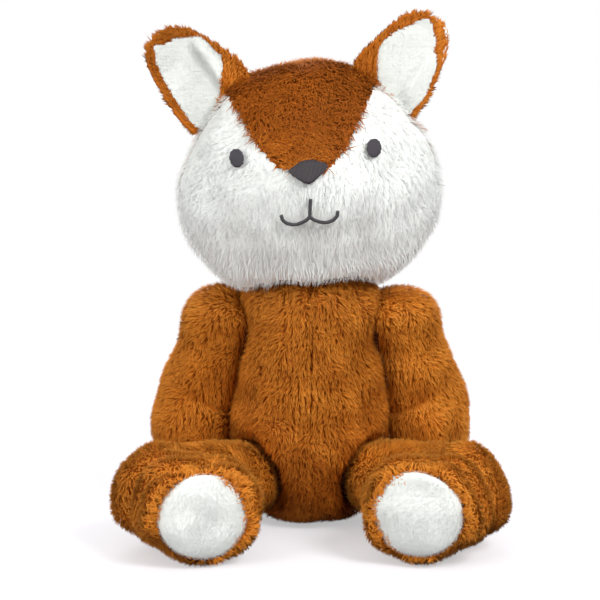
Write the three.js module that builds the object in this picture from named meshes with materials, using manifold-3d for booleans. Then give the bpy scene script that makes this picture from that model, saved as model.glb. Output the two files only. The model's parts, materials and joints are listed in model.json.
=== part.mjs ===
// A seated plush fox, in millimetres. +Z is up and the fox looks along -Y, so its own left side is +X.
// The origin is on the floor, under the middle of the toy's outline.
// Every sewn piece is a cover of pile fabric round a filling. Sizes are taken over the pile.

import * as THREE from 'three';
import { mergeVertices } from 'three/addons/utils/BufferGeometryUtils.js';
import Module from 'manifold-3d';

// Driving dimensions of the body and its neck, which is a round dome that the head turns on
const BODY_WIDTH = 96;
const BODY_DEPTH = 88;
const NECK_HEIGHT = 126;
const NECK_RADIUS = 40;

// Driving dimensions of the head. Its chin rises over the neck dome's centre, and its ears and features
// are placed by their height over the chin.
const HEAD_WIDTH = 161;
const HEAD_DEPTH = 118;
const HEAD_HEIGHT = 142;
const CHIN_RISE = 11;
const HEAD_SHIFT = 4;
const HEAD_LEAN_DEGREES = 4.2;
const SNOUT_LENGTH = 7;

// Driving dimensions of the ears
const EAR_WIDTH = 49;
const EAR_HEIGHT = 54;
const EAR_THICKNESS = 7;
const EAR_CUP = 9;
const EAR_ROOT = 5;
const EAR_SPREAD = 50;
const EAR_BASE_RISE = 119;
const EAR_SETBACK = 4;
const EAR_TURN_DEGREES = 39;
const EAR_BEND_DEGREES = 24;

// Driving dimensions of the face
const EYE_WIDTH = 8.8;
const EYE_HEIGHT = 10.4;
const EYE_SPREAD = 39.5;
const EYE_RISE = 92;
const NOSE_WIDTH = 21;
const NOSE_HEIGHT = 14;
const NOSE_RISE = 82.5;
const MOUTH_WIDTH = 33;
const MOUTH_DROP = 12;
const MOUTH_RISE = 64;
const THREAD = 1.6;
const EMBROIDERY = 1.2;

// Driving dimensions of the arms, whose shoulders lie below the neck dome's centre
const SHOULDER_SPREAD = 53;
const SHOULDER_SETBACK = 6;
const SHOULDER_DROP = 7;
const SHOULDER_RADIUS = 21.5;
const ARM_RADIUS = 25.5;
const ARM_LENGTH = 98;
const ARM_BOW = 5;
const PAW_SPREAD = 73;
const PAW_SETBACK = 15;
const PAW_HEIGHT = 45;

// Driving dimensions of the legs, whose axes lie level with the hip
const HIP_SPREAD = 41;
const HIP_ADVANCE = 23;
const HIP_HEIGHT = 30;
const HIP_RADIUS = 24;
const LEG_RADIUS = 31;
const KNEE_SPREAD = 80;
const KNEE_ADVANCE = 64;
const SOLE_SPREAD = 60;
const SOLE_ADVANCE = 110;
const FOOT_LENGTH = 52;
const FOOT_TURN_DEGREES = 15;
const PAD_RADIUS = 26;
const PAD_DOME = 5;

// Driving dimensions of the tail
const TAIL_SETBACK = 45;
const TAIL_ROOT_HEIGHT = 29;
const TAIL_ROOT_RADIUS = 11;
const TAIL_RADIUS = 19;
const TAIL_LENGTH = 84;
const TAIL_TIP_LENGTH = 30;
const TAIL_DROP = 12;

// Fabric, seams and the flat that the toy rests on
const COVER = 2.5;
const SEAM_GAP = 0.3;
const SEAM_ALLOWANCE = 1.4;
const SEAT_FLAT = 0.5;
const PELLET_BAG_HEIGHT = 20;
const OVERRUN = 60;

const wasm = await Module();
wasm.setup();
const { Manifold, Mesh: SolidMesh } = wasm;

const degrees = Math.PI / 180;
const sides = { left: 1, right: -1 };

// Finishes
const pile = { roughness: 0.95, metalness: 0 };
const rustPile = new THREE.MeshStandardMaterial({ color: '#a5602a', ...pile });
const whitePile = new THREE.MeshStandardMaterial({ color: '#ebeee8', ...pile });
const embroidery = new THREE.MeshStandardMaterial({ color: '#4c4548', roughness: 0.6, metalness: 0 });
const seamThread = new THREE.MeshStandardMaterial({ color: '#7c4219', roughness: 0.7, metalness: 0 });
const fibreFilling = new THREE.MeshStandardMaterial({ color: '#f1f1ee', ...pile });
const pelletCloth = new THREE.MeshStandardMaterial({ color: '#d8d2c2', roughness: 0.85, metalness: 0 });

// Moves every vertex of a geometry by a function of its place
function shaped(geometry, move) {
  const places = geometry.attributes.position;
  const point = new THREE.Vector3();
  for (let i = 0; i < places.count; i += 1) {
    point.fromBufferAttribute(places, i);
    move(point);
    places.setXYZ(i, point.x, point.y, point.z);
  }
  return geometry;
}

// A closed geometry whose shared vertices are one, with its faces pointing out
function closed(geometry) {
  const bare = geometry.clone();
  bare.deleteAttribute('normal');
  bare.deleteAttribute('uv');
  const merged = mergeVertices(bare);
  const corners = merged.index.array;
  const places = merged.attributes.position;
  const [a, b, c] = [new THREE.Vector3(), new THREE.Vector3(), new THREE.Vector3()];
  const kept = [];
  let volume = 0;
  for (let i = 0; i < corners.length; i += 3) {
    const [u, v, w] = [corners[i], corners[i + 1], corners[i + 2]];
    if (u !== v && v !== w && w !== u) {
      kept.push([u, v, w]);
      a.fromBufferAttribute(places, u);
      b.fromBufferAttribute(places, v);
      c.fromBufferAttribute(places, w);
      volume += a.dot(b.cross(c));
    }
  }
  merged.setIndex(kept.flatMap(([u, v, w]) => (volume < 0 ? [u, w, v] : [u, v, w])));
  return merged;
}

// The same form with its surface moved out by a distance, or in where it is negative
function grown(geometry, distance) {
  const form = closed(geometry);
  form.computeVertexNormals();
  const places = form.attributes.position;
  const normals = form.attributes.normal;
  for (let i = 0; i < places.count; i += 1) {
    places.setXYZ(
      i,
      places.getX(i) + normals.getX(i) * distance,
      places.getY(i) + normals.getY(i) * distance,
      places.getZ(i) + normals.getZ(i) * distance,
    );
  }
  return form;
}

function solid(geometry) {
  const form = closed(geometry);
  return new Manifold(new SolidMesh({
    numProp: 3,
    vertProperties: new Float32Array(form.attributes.position.array),
    triVerts: new Uint32Array(form.index.array),
  }));
}

function placed(shape, matrix) {
  return shape.transform(matrix.elements);
}

// A solid given in the toy's frame, seen from the frame of a group
function seenFrom(group, shape) {
  group.updateWorldMatrix(true, false);
  return placed(shape, group.matrixWorld.clone().invert());
}

function piece(name, shape, material) {
  const { numProp, vertProperties, triVerts } = shape.getMesh();
  const geometry = new THREE.BufferGeometry();
  geometry.setAttribute('position', new THREE.BufferAttribute(vertProperties, numProp));
  geometry.setIndex(new THREE.BufferAttribute(triVerts, 1));
  geometry.computeVertexNormals();
  const mesh = new THREE.Mesh(geometry, material);
  mesh.name = name;
  return mesh;
}

// A form turned about +Z from pairs of shares, one of its radius and one of its length.
// An outline that starts or ends off the axis has a flat end there.
function turned(outlineShares, radius, length, facets, rings) {
  const outline = new THREE.SplineCurve(
    outlineShares.map(([out, up]) => new THREE.Vector2(out * radius, up * length)),
  );
  const points = outline.getSpacedPoints(rings);
  points.forEach((point) => {
    point.x = Math.max(point.x, 0);
  });
  const profile = [new THREE.Vector2(0, points[0].y), ...points, new THREE.Vector2(0, points[rings].y)];
  return new THREE.LatheGeometry(profile, facets).rotateX(Math.PI / 2);
}

function ball(radius, centre, facets) {
  return solid(new THREE.SphereGeometry(radius, facets, facets / 2).translate(...centre));
}

// Ball joints, their bands and their sockets are faceted. Each outer one is widened by this share, so that
// the flats of its facets clear the corners of the one inside.
const jointFacets = 24;
const flatsShare = Math.cos(Math.PI / jointFacets) ** 2;

function bandRadius(radius) {
  return (radius + SEAM_GAP) / flatsShare;
}

// A round hollow that clears a ball joint and its band
function socket(radius, centre) {
  return ball((bandRadius(radius) + SEAM_ALLOWANCE + SEAM_GAP) / flatsShare, centre, jointFacets);
}

// A ring of turned-in fabric edge that hugs a ball: a band of a sphere between two angles from +Z
function seamBand(radius, fromDegrees, toDegrees) {
  const inner = bandRadius(radius);
  const outer = inner + SEAM_ALLOWANCE;
  const steps = Math.ceil(((toDegrees - fromDegrees) / 360) * jointFacets);
  const angles = Array.from({ length: steps + 1 }, (step, i) => (
    THREE.MathUtils.lerp(fromDegrees, toDegrees, i / steps) * degrees
  ));
  const profile = [
    ...angles.map((angle) => new THREE.Vector2(inner * Math.sin(angle), inner * Math.cos(angle))),
    ...angles.reverse().map((angle) => new THREE.Vector2(outer * Math.sin(angle), outer * Math.cos(angle))),
  ];
  return new THREE.LatheGeometry([...profile, profile[0].clone()], jointFacets).rotateX(Math.PI / 2);
}

const neckSeamDegrees = [38, 60];
const limbSeamDegrees = [26, 56];

// A rotation that carries +Z to a direction
function facing(direction) {
  return new THREE.Quaternion().setFromUnitVectors(new THREE.Vector3(0, 0, 1), direction.clone().normalize());
}

const fox = new THREE.Group();
fox.name = 'plush_fox';

// Joint places on each side of the body
const neckPlace = new THREE.Vector3(0, 0, NECK_HEIGHT);
const tailPlace = new THREE.Vector3(0, TAIL_SETBACK, TAIL_ROOT_HEIGHT);

function shoulderPlace(side) {
  return new THREE.Vector3(side * SHOULDER_SPREAD, SHOULDER_SETBACK, NECK_HEIGHT - SHOULDER_DROP);
}

function hipPlace(side) {
  return new THREE.Vector3(side * HIP_SPREAD, -HIP_ADVANCE, HIP_HEIGHT);
}

// Body: a pear of four fabric panels, with the neck dome on top and a flat under its seat
const bellyOutlineShares = [
  [0, 0], [0.3, 0.0005], [0.53, 0.006], [0.68, 0.032], [0.8, 0.085], [0.9, 0.155], [0.97, 0.245],
  [1, 0.35], [0.99, 0.46], [0.962, 0.58], [0.925, 0.72], [0.88, 0.86], [0.8334, 1],
];

function bodyForm(growth, facets, rings, domeRings) {
  const outline = new THREE.SplineCurve(bellyOutlineShares.map(
    ([out, up]) => new THREE.Vector2((out * BODY_WIDTH) / 2, up * (NECK_HEIGHT + SEAT_FLAT) - SEAT_FLAT),
  ));
  const points = outline.getSpacedPoints(rings);
  points[0].x = 0;
  points[rings].x = NECK_RADIUS;
  for (let i = 1; i <= domeRings; i += 1) {
    const angle = (i / domeRings) * (Math.PI / 2);
    const out = i === domeRings ? 0 : NECK_RADIUS * Math.cos(angle);
    points.push(new THREE.Vector2(out, NECK_HEIGHT + NECK_RADIUS * Math.sin(angle)));
  }
  const form = new THREE.LatheGeometry(points, facets).rotateX(Math.PI / 2);
  shaped(form, (point) => {
    const rise = THREE.MathUtils.smoothstep(point.z, NECK_HEIGHT / 2, NECK_HEIGHT);
    point.y *= THREE.MathUtils.lerp(BODY_DEPTH / BODY_WIDTH, 1, rise);
  });
  return grown(form, growth);
}

const torso = new THREE.Group();
fox.add(torso);

const bodyFacets = 28;
const bodyInnerFacets = 14;
const bodyOuter = solid(bodyForm(0, bodyFacets, 10, 3)).trimByPlane([0, 0, 1], 0);
const bodyInner = solid(bodyForm(-COVER, bodyInnerFacets, 6, 2)).trimByPlane([0, 0, 1], COVER);

// Round hollows in the body where the limbs and the tail are set in
const limbSockets = Object.values(sides).reduce(
  (sum, side) => sum.add(socket(SHOULDER_RADIUS, shoulderPlace(side).toArray()))
    .add(socket(HIP_RADIUS, hipPlace(side).toArray())),
  ball((TAIL_ROOT_RADIUS + SEAM_GAP) / flatsShare, tailPlace.toArray(), jointFacets),
);

const neckOpeningShare = 0.86;
const bodyShell = bodyOuter.subtract(bodyInner).subtract(limbSockets)
  .trimByPlane([0, 0, -1], -(NECK_HEIGHT + neckOpeningShare * NECK_RADIUS));
const halfGap = SEAM_GAP / 2;
for (const [sideName, side] of Object.entries(sides)) {
  const half = bodyShell.trimByPlane([side, 0, 0], halfGap);
  torso.add(piece(`body_front_${sideName}`, half.trimByPlane([0, -1, 0], halfGap), rustPile));
  torso.add(piece(`body_back_${sideName}`, half.trimByPlane([0, 1, 0], halfGap), rustPile));
}

// The pellet bag sits in the seat, with the fibre filling on top of it
const pelletBagTop = COVER + SEAM_GAP + PELLET_BAG_HEIGHT;
const bodyStuffing = solid(bodyForm(-COVER - SEAM_GAP, bodyInnerFacets, 6, 2)).subtract(limbSockets)
  .trimByPlane([0, 0, 1], COVER + SEAM_GAP);
torso.add(piece('body_filling', bodyStuffing.trimByPlane([0, 0, 1], pelletBagTop + SEAM_GAP), fibreFilling));
torso.add(piece('seat_pellet_bag', bodyStuffing.trimByPlane([0, 0, -1], -pelletBagTop), pelletCloth));

// Neck: the band where the head's opening is sewn to the dome
const neck = new THREE.Group();
neck.position.copy(neckPlace);
torso.add(neck);
neck.add(piece('neck_seam', solid(seamBand(NECK_RADIUS, ...neckSeamDegrees)), seamThread));

// Head: a wide round cushion with full cheeks, leaning a little to its right
const head = new THREE.Group();
head.position.set(HEAD_SHIFT, 0, 0);
head.rotation.y = -HEAD_LEAN_DEGREES * degrees;
neck.add(head);

const headOutlineShares = [
  [0, 0], [0.31, 0.007], [0.53, 0.042], [0.71, 0.1], [0.85, 0.175], [0.935, 0.26], [0.985, 0.35],
  [1, 0.44], [0.985, 0.53], [0.91, 0.63], [0.8, 0.73], [0.7, 0.81], [0.565, 0.895], [0.36, 0.972],
  [0.15, 0.997], [0, 1],
];
const snoutLevel = CHIN_RISE + (NOSE_RISE + MOUTH_RISE) / 2;
const snoutWidthShare = 0.16;
const snoutHeightShare = 0.17;
const snoutRootShare = 0.33;

function headForm(growth, facets, rings) {
  const form = turned(headOutlineShares, HEAD_WIDTH / 2, HEAD_HEIGHT, facets, rings);
  shaped(form, (point) => {
    point.y *= HEAD_DEPTH / HEAD_WIDTH;
    point.z += CHIN_RISE;
    if (point.y < 0) {
      const across = point.x / (snoutWidthShare * HEAD_WIDTH);
      const along = (point.z - snoutLevel) / (snoutHeightShare * HEAD_HEIGHT);
      const front = Math.min(1, -point.y / (snoutRootShare * HEAD_DEPTH));
      point.y -= SNOUT_LENGTH * front * Math.exp(-across * across - along * along);
    }
  });
  return grown(form, growth);
}

const headFacets = 32;
const headInnerFacets = 16;
const headOuter = solid(headForm(0, headFacets, 13));

// Ears: two leaves of fabric sewn back to back and cupped forwards, their root held in the crown's seam
const earOutlineShares = [
  [0.96, 0], [1, 0.1], [0.97, 0.28], [0.89, 0.48], [0.78, 0.68], [0.63, 0.85], [0.42, 0.955], [0.2, 0.99],
  [0, 1],
];
const liningShare = 0.9;

function earLeaf(growth, share, thickness, side, facets, rings) {
  const height = share * (EAR_HEIGHT + EAR_ROOT);
  const leaf = turned(earOutlineShares, (share * EAR_WIDTH) / 2, height, facets, rings);
  shaped(leaf, (point) => {
    point.x *= side;
    point.y *= thickness / (share * EAR_WIDTH);
    point.z -= EAR_ROOT;
  });
  const even = grown(leaf, growth);
  return shaped(even, cupped);
}

function cupped(point) {
  const across = point.x / (EAR_WIDTH / 2);
  point.y -= EAR_CUP * across * across;
}

// The space in front of the ear's middle layer, cupped as the ear is
function earFront(offset) {
  const width = 2 * EAR_WIDTH;
  const height = 2 * (EAR_HEIGHT + EAR_ROOT);
  const depth = 2 * EAR_THICKNESS;
  const slab = new THREE.BoxGeometry(width, depth, height, 8, 1, 1);
  slab.translate(0, offset - depth / 2, 0);
  return solid(shaped(closed(slab), cupped));
}

const ears = {};
for (const [sideName, side] of Object.entries(sides)) {
  const ear = new THREE.Group();
  ear.position.set(side * EAR_SPREAD, EAR_SETBACK, CHIN_RISE + EAR_BASE_RISE);
  ear.rotation.y = side * EAR_TURN_DEGREES * degrees;
  head.add(ear);
  const whole = solid(earLeaf(0, 1, EAR_THICKNESS, side, 14, 7));
  const lining = solid(earLeaf(0, liningShare, EAR_THICKNESS, side, 14, 7)).intersect(earFront(-halfGap));
  const recess = solid(earLeaf(SEAM_GAP, liningShare, 2 * EAR_THICKNESS, side, 14, 7))
    .intersect(earFront(halfGap));
  ear.add(piece(`ear_lining_${sideName}`, lining, whitePile));
  ear.add(piece(`ear_back_${sideName}`, whole.subtract(recess), rustPile));
  ears[sideName] = ear;
}

// The slot that an ear's root needs to bend forwards and back
const earSlots = Object.entries(sides).map(([sideName, side]) => {
  const ear = ears[sideName];
  ear.updateMatrix();
  const root = solid(earLeaf(SEAM_ALLOWANCE, 1, EAR_THICKNESS, side, 12, 6))
    .trimByPlane([0, 0, -1], -EAR_HEIGHT / 2);
  const turns = [-1, -0.5, 0, 0.5, 1].map((share) => {
    const bend = new THREE.Matrix4().makeRotationX(share * EAR_BEND_DEGREES * degrees);
    return placed(root, ear.matrix.clone().multiply(bend));
  });
  return turns.reduce((sum, shape) => sum.add(shape));
});

const neckDome = socket(NECK_RADIUS, neckPlace.toArray());
const headHollows = earSlots.reduce((sum, shape) => sum.add(shape), seenFrom(head, neckDome));
const headInner = solid(headForm(-COVER, headInnerFacets, 8));
const headShell = headOuter.subtract(headInner).subtract(headHollows);
const headStuffing = solid(headForm(-COVER - SEAM_GAP, headInnerFacets, 8)).subtract(headHollows);
head.add(piece('head_filling', headStuffing, fibreFilling));

// The crown panel runs down to a point at the nose. Its edge is given in shares of the head's half width
// and of the height from the nose to the top of the head.
const blazeEdgeShares = [
  [0.12, -0.03], [0.17, 0.02], [0.3, 0.2], [0.44, 0.52], [0.56, 0.76], [0.78, 0.9], [1.3, 1],
];
const noseLevel = CHIN_RISE + NOSE_RISE;
const crownLevel = CHIN_RISE + HEAD_HEIGHT;

function blazePrism(growth) {
  const right = blazeEdgeShares.map(([out, up]) => [
    (out * HEAD_WIDTH) / 2 + growth,
    noseLevel + up * (crownLevel - noseLevel) - growth,
  ]);
  const shape = new THREE.Shape();
  shape.moveTo(right[0][0], right[0][1]);
  right.slice(1).forEach(([x, z]) => shape.lineTo(x, z));
  shape.lineTo(right[right.length - 1][0], crownLevel + OVERRUN);
  shape.lineTo(-right[right.length - 1][0], crownLevel + OVERRUN);
  right.slice().reverse().forEach(([x, z]) => shape.lineTo(-x, z));
  const prism = new THREE.ExtrudeGeometry(shape, { depth: 2 * HEAD_DEPTH, bevelEnabled: false });
  return solid(prism.rotateX(Math.PI / 2).translate(0, HEAD_DEPTH, 0));
}

const sideSeam = EAR_SETBACK;
const face = headShell.trimByPlane([0, -1, 0], halfGap - sideSeam);
head.add(piece('head_crown', face.intersect(blazePrism(0)), rustPile));
const cheeks = face.subtract(blazePrism(SEAM_GAP));
const backOfHead = headShell.trimByPlane([0, 1, 0], halfGap + sideSeam);
for (const [sideName, side] of Object.entries(sides)) {
  head.add(piece(`cheek_${sideName}`, cheeks.trimByPlane([side, 0, 0], halfGap), whitePile));
  head.add(piece(`head_back_${sideName}`, backOfHead.trimByPlane([side, 0, 0], halfGap), rustPile));
}

// Embroidery: a thin layer of satin stitch that follows the face inside an outline drawn from the front
const faceSkin = solid(headForm(SEAM_GAP, headFacets, 13));
const faceStitches = solid(headForm(SEAM_GAP + EMBROIDERY, headFacets, 13)).subtract(faceSkin);

function embroidered(shape) {
  const cut = { depth: HEAD_DEPTH, bevelEnabled: false, curveSegments: 5 };
  const prism = new THREE.ExtrudeGeometry(shape, cut);
  return solid(prism.rotateX(Math.PI / 2)).intersect(faceStitches);
}

for (const [sideName, side] of Object.entries(sides)) {
  const outline = new THREE.Shape();
  outline.absellipse(side * EYE_SPREAD, CHIN_RISE + EYE_RISE, EYE_WIDTH / 2, EYE_HEIGHT / 2, 0, 2 * Math.PI);
  head.add(piece(`eye_${sideName}`, embroidered(outline), embroidery));
}

const noseOutlineShares = [[-1, 0.12], [-0.45, 0.72], [0, 0.95], [0.5, 0.8], [1, 0.35], [0.5, -0.45], [0, -1],
  [-0.5, -0.62]];
const noseOutline = new THREE.Shape();
noseOutline.setFromPoints(new THREE.SplineCurve(
  [...noseOutlineShares, noseOutlineShares[0]].map(
    ([out, up]) => new THREE.Vector2((out * NOSE_WIDTH) / 2, noseLevel + (up * NOSE_HEIGHT) / 2),
  ),
).getPoints(16).slice(0, -1));
head.add(piece('nose', embroidered(noseOutline), embroidery));

// The mouth is one line of thick thread: down from the nose, then a shallow curve to each side
const mouthTop = CHIN_RISE + MOUTH_RISE + MOUTH_DROP / 2;
const mouthFork = mouthTop - MOUTH_DROP;
const mouthCurveShares = [[0, 0], [0.28, -0.32], [0.62, -0.42], [0.95, -0.12], [0.98, 0.12]];

function strokeOutline(line) {
  const along = line.getSpacedPoints(5);
  const across = along.map((point, i) => {
    const ahead = along[Math.min(i + 1, along.length - 1)].clone();
    const run = ahead.sub(along[Math.max(i - 1, 0)]).normalize();
    return new THREE.Vector2(-run.y, run.x).multiplyScalar(THREAD / 2);
  });
  const shape = new THREE.Shape();
  shape.setFromPoints([
    ...along.map((point, i) => point.clone().add(across[i])),
    ...along.map((point, i) => point.clone().sub(across[i])).reverse(),
  ]);
  return shape;
}

const mouthLines = [
  new THREE.LineCurve(new THREE.Vector2(0, mouthTop), new THREE.Vector2(0, mouthFork - THREAD / 2)),
  ...Object.values(sides).map((side) => new THREE.SplineCurve(mouthCurveShares.map(
    ([out, up]) => new THREE.Vector2((side * out * MOUTH_WIDTH) / 2, mouthFork + up * MOUTH_DROP),
  ))),
];
const mouth = mouthLines.map((line) => embroidered(strokeOutline(line)))
  .reduce((sum, shape) => sum.add(shape));
head.add(piece('mouth_stitch', mouth, embroidery));

// Arms: they taper to the shoulder and are plump at the paw. A plane keeps each one outside the body's side.
const armOutlineShares = [
  [0.85, 0], [0.86, 0.12], [0.9, 0.28], [0.96, 0.46], [1, 0.66], [0.95, 0.83], [0.74, 0.945], [0.42, 0.992],
  [0, 1],
];
const bellyLevelShare = 0.35;
const bodySideShare = 1.025;
const openingShare = 0.8;

function buildArm(sideName, side) {
  const arm = new THREE.Group();
  arm.position.copy(shoulderPlace(side));
  torso.add(arm);
  const paw = new THREE.Vector3(side * PAW_SPREAD, PAW_SETBACK, PAW_HEIGHT);
  const along = facing(paw.sub(arm.position));

  // The plane leans from the neck dome's side to the widest place of the belly
  const top = new THREE.Vector3(side * NECK_RADIUS * bodySideShare, 0, NECK_HEIGHT);
  const low = new THREE.Vector3(side * (BODY_WIDTH / 2) * bodySideShare, 0, bellyLevelShare * NECK_HEIGHT);
  const run = top.clone().sub(low).normalize();
  const out = new THREE.Vector3(side * run.z, 0, -side * run.x);
  const reach = out.dot(top.clone().sub(arm.position)) + SEAM_GAP;

  const limb = (growth, facets, rings) => {
    const form = grown(turned(armOutlineShares, ARM_RADIUS, ARM_LENGTH, facets, rings), growth);
    form.applyQuaternion(along);
    shaped(form, (point) => {
      const share = THREE.MathUtils.clamp(-point.z / (arm.position.z - PAW_HEIGHT), 0, 1);
      point.x += side * ARM_BOW * Math.sin(share * Math.PI);
    });
    return solid(form).trimByPlane(out.toArray(), reach - growth)
      .add(ball(SHOULDER_RADIUS + growth, [0, 0, 0], 14));
  };
  const cover = limb(0, 14, 8).subtract(limb(-COVER, 8, 5))
    .trimByPlane(out.toArray(), -openingShare * SHOULDER_RADIUS);
  arm.add(piece(`arm_cover_${sideName}`, cover, rustPile));
  arm.add(piece(`arm_filling_${sideName}`, limb(-COVER - SEAM_GAP, 8, 5), fibreFilling));

  const band = seamBand(SHOULDER_RADIUS, ...limbSeamDegrees).applyQuaternion(facing(out.clone().negate()));
  arm.add(piece(`shoulder_seam_${sideName}`, solid(band), seamThread));
}

// Legs: a plump thigh goes out from the hip to the knee, and a foot with a white pad points forwards from it
const thighOutlineShares = [
  [0.79, 0], [0.84, 0.12], [0.91, 0.3], [0.98, 0.5], [1, 0.64], [0.95, 0.77], [0.8, 0.88], [0.55, 0.96],
  [0.25, 0.995], [0, 1],
];
const footOutlineShares = [
  [0, 0], [0.3, 0.02], [0.62, 0.09], [0.86, 0.22], [0.97, 0.38], [1, 0.55], [0.99, 0.76], [0.965, 0.93],
  [0.9, 1],
];
const padOutlineShares = [[0.97, -1], [1, -0.75], [0.92, -0.35], [0.7, 0.35], [0.4, 0.8], [0, 1]];

function buildLeg(sideName, side) {
  const leg = new THREE.Group();
  leg.position.copy(hipPlace(side));
  torso.add(leg);
  const knee = new THREE.Vector3(side * (KNEE_SPREAD - HIP_SPREAD), HIP_ADVANCE - KNEE_ADVANCE, 0);
  const sole = new THREE.Vector3(side * (SOLE_SPREAD - HIP_SPREAD), HIP_ADVANCE - SOLE_ADVANCE, 0);
  const forward = new THREE.Vector3(0, -1, 0)
    .applyAxisAngle(new THREE.Vector3(0, 0, 1), -side * FOOT_TURN_DEGREES * degrees);
  const heel = sole.clone().addScaledVector(forward, -FOOT_LENGTH);

  const limb = (growth, facets, rings) => {
    const thigh = grown(
      turned(thighOutlineShares, LEG_RADIUS, knee.length() + LEG_RADIUS, facets, rings),
      growth,
    );
    const foot = grown(turned(footOutlineShares, LEG_RADIUS, FOOT_LENGTH, facets, rings), growth);
    return solid(thigh.applyQuaternion(facing(knee)))
      .add(solid(foot.applyQuaternion(facing(forward)).translate(...heel.toArray())))
      .add(ball(HIP_RADIUS + growth, [0, 0, 0], 14))
      .trimByPlane([0, 0, 1], -HIP_HEIGHT - growth);
  };

  // The pad is a shallow dome in the open end of the foot, its edge sunk below the rim
  const atSole = new THREE.Matrix4().compose(sole, facing(forward), new THREE.Vector3(1, 1, 1));
  const pad = placed(solid(turned(padOutlineShares, PAD_RADIUS, PAD_DOME / 2, 20, 7)), atSole);
  const roomRadius = PAD_RADIUS + 2 * SEAM_GAP;
  const roomShape = new THREE.CylinderGeometry(roomRadius, roomRadius, PAD_DOME, 20)
    .rotateX(Math.PI / 2).translate(0, 0, -SEAM_GAP);
  const padRoom = placed(solid(roomShape), atSole);

  const inward = knee.clone().normalize();
  const cover = limb(0, 16, 8).subtract(limb(-COVER, 8, 5)).subtract(padRoom)
    .trimByPlane(inward.toArray(), -openingShare * HIP_RADIUS);
  leg.add(piece(`leg_cover_${sideName}`, cover, rustPile));
  leg.add(piece(`leg_filling_${sideName}`, limb(-COVER - SEAM_GAP, 8, 5).subtract(padRoom), fibreFilling));
  leg.add(piece(`foot_pad_${sideName}`, pad, whitePile));

  const band = seamBand(HIP_RADIUS, ...limbSeamDegrees).applyQuaternion(facing(inward.negate()));
  leg.add(piece(`hip_seam_${sideName}`, solid(band), seamThread));
}

for (const [sideName, side] of Object.entries(sides)) {
  buildArm(sideName, side);
  buildLeg(sideName, side);
}

// Tail: a short brush behind the seat, with a white tip
const tailOutlineShares = [
  [0.58, 0], [0.64, 0.1], [0.82, 0.28], [0.98, 0.48], [1, 0.62], [0.86, 0.78], [0.58, 0.91], [0.28, 0.98],
  [0, 1],
];
const tail = new THREE.Group();
tail.position.copy(tailPlace);
torso.add(tail);
const tailReach = Math.sqrt(TAIL_LENGTH * TAIL_LENGTH - TAIL_DROP * TAIL_DROP);
const tailRun = new THREE.Vector3(0, tailReach, -TAIL_DROP);
const tailAlong = facing(tailRun);
const tailAxis = tailRun.clone().normalize();

function tailForm(growth, facets, rings) {
  const form = grown(turned(tailOutlineShares, TAIL_RADIUS, TAIL_LENGTH, facets, rings), growth);
  return solid(form.applyQuaternion(tailAlong)).add(ball(TAIL_ROOT_RADIUS + growth, [0, 0, 0], 16));
}

const tailShell = tailForm(0, 14, 9).subtract(tailForm(-COVER, 10, 6));
const tipPlane = TAIL_LENGTH - TAIL_TIP_LENGTH;
const tailAxisBack = tailAxis.clone().negate().toArray();
tail.add(piece('tail_cover', tailShell.trimByPlane(tailAxisBack, halfGap - tipPlane)
  .trimByPlane(tailAxis.toArray(), -openingShare * TAIL_ROOT_RADIUS), rustPile));
tail.add(piece('tail_tip', tailShell.trimByPlane(tailAxis.toArray(), tipPlane + halfGap), whitePile));
tail.add(piece('tail_filling', tailForm(-COVER - SEAM_GAP, 10, 6), fibreFilling));

// The origin goes under the middle of the outline
fox.updateMatrixWorld(true);
const outline = new THREE.Box3().setFromObject(fox, true);
const middle = outline.getCenter(new THREE.Vector3());
torso.position.set(-middle.x, -middle.y, -outline.min.z);

export default fox;
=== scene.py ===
import json
import math

import bmesh
import bpy
import numpy as np
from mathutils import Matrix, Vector
from mathutils.bvhtree import BVHTree


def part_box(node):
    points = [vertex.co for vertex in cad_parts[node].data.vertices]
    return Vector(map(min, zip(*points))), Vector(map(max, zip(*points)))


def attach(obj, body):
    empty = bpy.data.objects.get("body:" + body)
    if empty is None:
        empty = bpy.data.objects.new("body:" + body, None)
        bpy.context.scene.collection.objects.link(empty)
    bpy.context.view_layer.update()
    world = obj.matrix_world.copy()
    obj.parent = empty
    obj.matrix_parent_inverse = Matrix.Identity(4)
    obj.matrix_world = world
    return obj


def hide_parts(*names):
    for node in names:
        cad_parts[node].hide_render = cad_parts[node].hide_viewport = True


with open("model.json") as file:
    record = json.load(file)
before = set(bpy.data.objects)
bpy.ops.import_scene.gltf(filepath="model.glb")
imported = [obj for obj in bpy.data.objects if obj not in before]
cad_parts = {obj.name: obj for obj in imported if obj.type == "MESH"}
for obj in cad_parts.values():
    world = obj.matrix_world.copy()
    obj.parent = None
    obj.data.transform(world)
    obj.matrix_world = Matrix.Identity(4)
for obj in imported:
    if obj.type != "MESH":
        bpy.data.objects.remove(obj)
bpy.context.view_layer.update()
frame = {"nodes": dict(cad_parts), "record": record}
scene = bpy.context.scene


# Body: a rust-brown plush bag of two front and two back panels, with a seam down the middle of the chest.
# It is turned right side out and stuffed with fibre, so it swells between its seams and pulls in along them.
# The pile is about 6 mm long, dark at the root and light at the tip, and is brushed downwards.
def linked(name, data):
    thing = bpy.data.objects.new(name, data)
    scene.collection.objects.link(thing)
    return thing


def shape_of(mesh):
    shape = bmesh.new()
    shape.from_mesh(mesh)
    return shape


def cad_shape(*names):
    shape = bmesh.new()
    for name in names:
        shape.from_mesh(frame["nodes"][name].data)
    bmesh.ops.remove_doubles(shape, verts=shape.verts, dist=1e-6)
    return shape


def as_object(name, shape):
    mesh = bpy.data.meshes.new(name)
    shape.to_mesh(mesh)
    shape.free()
    return linked(name, mesh)


def evaluated(thing):
    return thing.evaluated_get(bpy.context.evaluated_depsgraph_get())


def finished(thing):
    mesh = bpy.data.meshes.new_from_object(evaluated(thing))
    thing.modifiers.clear()
    thing.data = mesh
    return thing


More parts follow.
